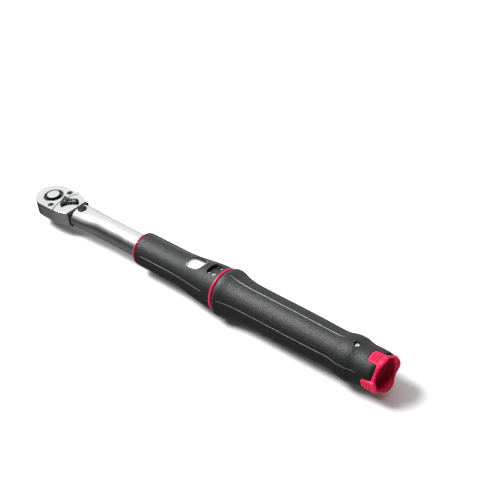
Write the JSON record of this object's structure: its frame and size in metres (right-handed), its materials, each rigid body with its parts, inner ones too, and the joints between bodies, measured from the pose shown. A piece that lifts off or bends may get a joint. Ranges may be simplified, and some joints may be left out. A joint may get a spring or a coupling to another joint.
{
  "type": "torque wrench",
  "caption": "Click-type torque wrench with a reversible square-drive ratchet head, window scale, twist handle and pull-back lock cap.",
  "frame": {"origin": "centre of the drive square's end face, on the drive axis", "axes": "+X from the drive towards the handle's end along the wrench, +Z from the drive square up through the release button, +Y completes a right-handed frame"},
  "size_m": [0.3885, 0.04, 0.04],
  "materials": {
    "chrome": "bright chrome plate over polished steel",
    "satin_steel": "satin chrome plate or ground steel",
    "black_oxide": "oiled black oxide on steel",
    "spring_steel": "oil-tempered spring wire and hardened washers",
    "brass": "machined brass",
    "black_nylon": "spark-eroded grain on glass-filled nylon",
    "red_plastic": "semi-gloss moulded plastic",
    "white_scale": "white enamel with printed numbers",
    "clear_plastic": "clear polycarbonate magnifier"
  },
  "bodies": {
    "frame": {"tube": "satin_steel", "pivot_pin": "black_oxide", "front_housing": "black_nylon", "front_ring": "red_plastic", "rear_ring": "red_plastic", "magnifier_lens": "clear_plastic", "thrust_ball_ring": "spring_steel", "thrust_race_rear": "satin_steel", "end_plug": "black_oxide", "main_spring": "spring_steel"},
    "head": {"head_body": "chrome", "cover_plate": "chrome", "cover_screw_1": "black_oxide", "cover_screw_2": "black_oxide"},
    "drive": {"drive_gear": "satin_steel", "release_spring": "spring_steel"},
    "button": {"release_button": "chrome"},
    "ball": {"detent_ball": "satin_steel"},
    "lever": {"reversing_lever": "black_oxide", "pawl_ball": "satin_steel"},
    "pawl": {"pawl": "satin_steel"},
    "tilt_block": {"tilt_block": "satin_steel"},
    "plunger": {"plunger": "satin_steel", "spring_washer_front": "spring_steel"},
    "scale": {"load_nut": "brass", "scale_sleeve": "white_scale", "key_pin_1": "satin_steel", "key_pin_2": "satin_steel", "spring_washer_rear": "spring_steel"},
    "handle": {"handle_grip": "black_nylon", "dial_ring": "black_nylon", "handle_hub": "satin_steel", "set_screw": "chrome", "load_screw": "satin_steel", "retaining_clip": "spring_steel", "thrust_race_front": "satin_steel"},
    "lock": {"lock_cap": "red_plastic"}
  },
  "joints": [
    {"name": "head_click", "type": "hinge", "parent": "frame", "child": "head", "pos_m": [0.0405, 0, 0.02], "axis": [0, 0, 1], "range_deg": [0, 2], "stiffness_Nm_per_rad": 20},
    {"name": "block_tilt", "type": "hinge", "parent": "head", "child": "tilt_block", "pos_m": [0.0659, 0, 0.02], "axis": [0, 0, 1], "range_deg": [-8.6, 0.2]},
    {"name": "plunger_slide", "type": "slide", "parent": "frame", "child": "plunger", "axis": [1, 0, 0], "range_m": [0, 0.0004], "deforming": ["main_spring"]},
    {"name": "drive_spin", "type": "hinge", "parent": "head", "child": "drive", "pos_m": [0, 0, 0.02], "axis": [0, 0, 1], "continuous": true},
    {"name": "button_press", "type": "slide", "parent": "drive", "child": "button", "axis": [0, 0, -1], "range_m": [0, 0.0025], "stiffness_N_per_m": 800, "springref_m": -0.003, "deforming": ["release_spring"]},
    {"name": "ball_retract", "type": "slide", "parent": "drive", "child": "ball", "axis": [0, 1, 0], "range_m": [0, 0.0008]},
    {"name": "lever_swing", "type": "hinge", "parent": "head", "child": "lever", "pos_m": [0.0178, 0, 0.02], "axis": [0, 0, 1], "range_deg": [-64, 0]},
    {"name": "pawl_rock", "type": "hinge", "parent": "head", "child": "pawl", "pos_m": [0.0178, 0, 0.02], "axis": [0, 0, 1], "range_deg": [-10.2, 0.2]},
    {"name": "handle_turn", "type": "hinge", "parent": "frame", "child": "handle", "pos_m": [0.2151, 0, 0.02], "axis": [-1, 0, 0], "range_deg": [0, 3240]},
    {"name": "scale_slide", "type": "slide", "parent": "frame", "child": "scale", "axis": [-1, 0, 0], "range_m": [0, 0.018], "deforming": ["main_spring"]},
    {"name": "lock_pull", "type": "slide", "parent": "handle", "child": "lock", "axis": [1, 0, 0], "range_m": [0, 0.006]}
  ],
  "couplings": [
    {"joint": "block_tilt", "follows": "head_click", "ratio": -4.175},
    {"joint": "plunger_slide", "follows": "head_click", "m_per_rad": 0.0086},
    {"joint": "ball_retract", "follows": "button_press", "ratio": 0.28},
    {"joint": "pawl_rock", "follows": "lever_swing", "ratio": 0.15625},
    {"joint": "scale_slide", "follows": "handle_turn", "m_per_rad": 0.0003183}
  ]
}
